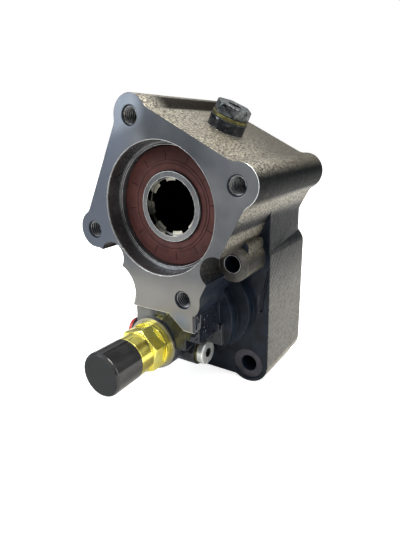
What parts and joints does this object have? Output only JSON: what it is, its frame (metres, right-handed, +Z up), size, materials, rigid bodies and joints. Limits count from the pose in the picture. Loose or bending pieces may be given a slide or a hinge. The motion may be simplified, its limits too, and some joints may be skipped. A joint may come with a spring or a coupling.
{
  "type": "power take off unit",
  "caption": "Gearbox mounted power take off with a splined output hub in a flanged cast body, air shift and indicator switch.",
  "frame": {"origin": "centre of the pump flange on its machined face", "axes": "-Y points out of the pump flange, +Y towards the gearbox, +Z up"},
  "size_m": [0.133, 0.1485, 0.1925],
  "materials": {
    "cast_body": "dark paint over a cast body, machined faces left bare",
    "seal_rubber": "matt brown rubber",
    "hub_steel": "turned and broached steel, lightly oiled",
    "gear_steel": "hardened and ground",
    "bearing_steel": "ground and polished",
    "cage_brass": "machined brass",
    "spring_steel": "phosphated",
    "bush_bronze": "bearing bronze",
    "ring_rubber": "black nitrile rubber",
    "zinc_steel": "bright zinc plate",
    "switch_brass": "turned brass",
    "cap_plastic": "moulded black plastic",
    "plug_plastic": "moulded red plastic",
    "plug_black": "black plated steel",
    "washer_soft": "soft metal sealing washer"
  },
  "bodies": {
    "housing": {"housing": "cast_body", "front_seal": "seal_rubber", "garter_spring": "spring_steel", "front_retaining_ring": "spring_steel", "front_bearing_outer_ring": "bearing_steel", "rear_bearing_outer_ring": "bearing_steel", "front_bush": "bush_bronze", "thrust_ring": "bush_bronze", "bearing_carrier": "cast_body", "carrier_seal_ring": "ring_rubber", "carrier_retaining_ring": "spring_steel", "input_bearing_outer_ring": "bearing_steel", "return_spring": "spring_steel", "switch_washer": "zinc_steel", "switch_body": "switch_brass", "switch_cap": "cap_plastic", "side_plug": "zinc_steel", "side_plug_washer": "washer_soft", "port_plug": "plug_plastic", "fill_washer": "washer_soft", "fill_plug": "plug_black"},
    "output": {"output_hub": "hub_steel", "front_bearing_inner_ring": "bearing_steel", "rear_bearing_inner_ring": "bearing_steel"},
    "front_cage": {"front_bearing_balls": "bearing_steel", "front_bearing_cage": "cage_brass"},
    "rear_cage": {"rear_bearing_balls": "bearing_steel", "rear_bearing_cage": "cage_brass"},
    "input_gear": {"input_gear": "gear_steel", "gear_bush": "bush_bronze"},
    "input_shaft": {"input_shaft": "hub_steel", "input_bearing_inner_ring": "bearing_steel"},
    "input_cage": {"input_bearing_rollers": "bearing_steel", "input_bearing_cage": "cage_brass"},
    "sleeve": {"dog_sleeve": "gear_steel"},
    "shifter": {"shift_fork": "gear_steel", "shift_rod": "bearing_steel", "fork_pin": "bearing_steel", "piston": "hub_steel", "piston_seal": "ring_rubber"},
    "plunger": {"switch_plunger": "bearing_steel"}
  },
  "joints": [
    {"name": "output_spin", "type": "hinge", "parent": "housing", "child": "output", "pos_m": [0, 0, 0], "axis": [0, 1, 0], "continuous": true},
    {"name": "front_cage_spin", "type": "hinge", "parent": "housing", "child": "front_cage", "pos_m": [0, 0, 0], "axis": [0, 1, 0], "continuous": true},
    {"name": "rear_cage_spin", "type": "hinge", "parent": "housing", "child": "rear_cage", "pos_m": [0, 0, 0], "axis": [0, 1, 0], "continuous": true},
    {"name": "input_gear_spin", "type": "hinge", "parent": "housing", "child": "input_gear", "pos_m": [0, 0, -0.073], "axis": [0, 1, 0], "continuous": true},
    {"name": "input_shaft_spin", "type": "hinge", "parent": "housing", "child": "input_shaft", "pos_m": [0, 0, -0.073], "axis": [0, 1, 0], "continuous": true},
    {"name": "input_cage_spin", "type": "hinge", "parent": "housing", "child": "input_cage", "pos_m": [0, 0, -0.073], "axis": [0, 1, 0], "continuous": true},
    {"name": "shift_slide", "type": "slide", "parent": "housing", "child": "shifter", "axis": [0, 1, 0], "range_m": [0, 0.006], "stiffness_N_per_m": 3000, "springref_m": -0.005, "deforming": ["return_spring"]},
    {"name": "sleeve_slide", "type": "slide", "parent": "input_shaft", "child": "sleeve", "axis": [0, 1, 0], "range_m": [0, 0.006]},
    {"name": "plunger_slide", "type": "slide", "parent": "housing", "child": "plunger", "axis": [0, 1, 0], "range_m": [0, 0.0025]}
  ],
  "couplings": [
    {"joint": "front_cage_spin", "follows": "output_spin", "ratio": 0.42},
    {"joint": "rear_cage_spin", "follows": "output_spin", "ratio": 0.4},
    {"joint": "input_gear_spin", "follows": "output_spin", "ratio": -0.77778},
    {"joint": "input_shaft_spin", "follows": "output_spin", "ratio": -0.77778},
    {"joint": "input_cage_spin", "follows": "output_spin", "ratio": -0.34009},
    {"joint": "sleeve_slide", "follows": "shift_slide", "ratio": 1},
    {"joint": "plunger_slide", "follows": "shift_slide", "ratio": 0.41666}
  ]
}
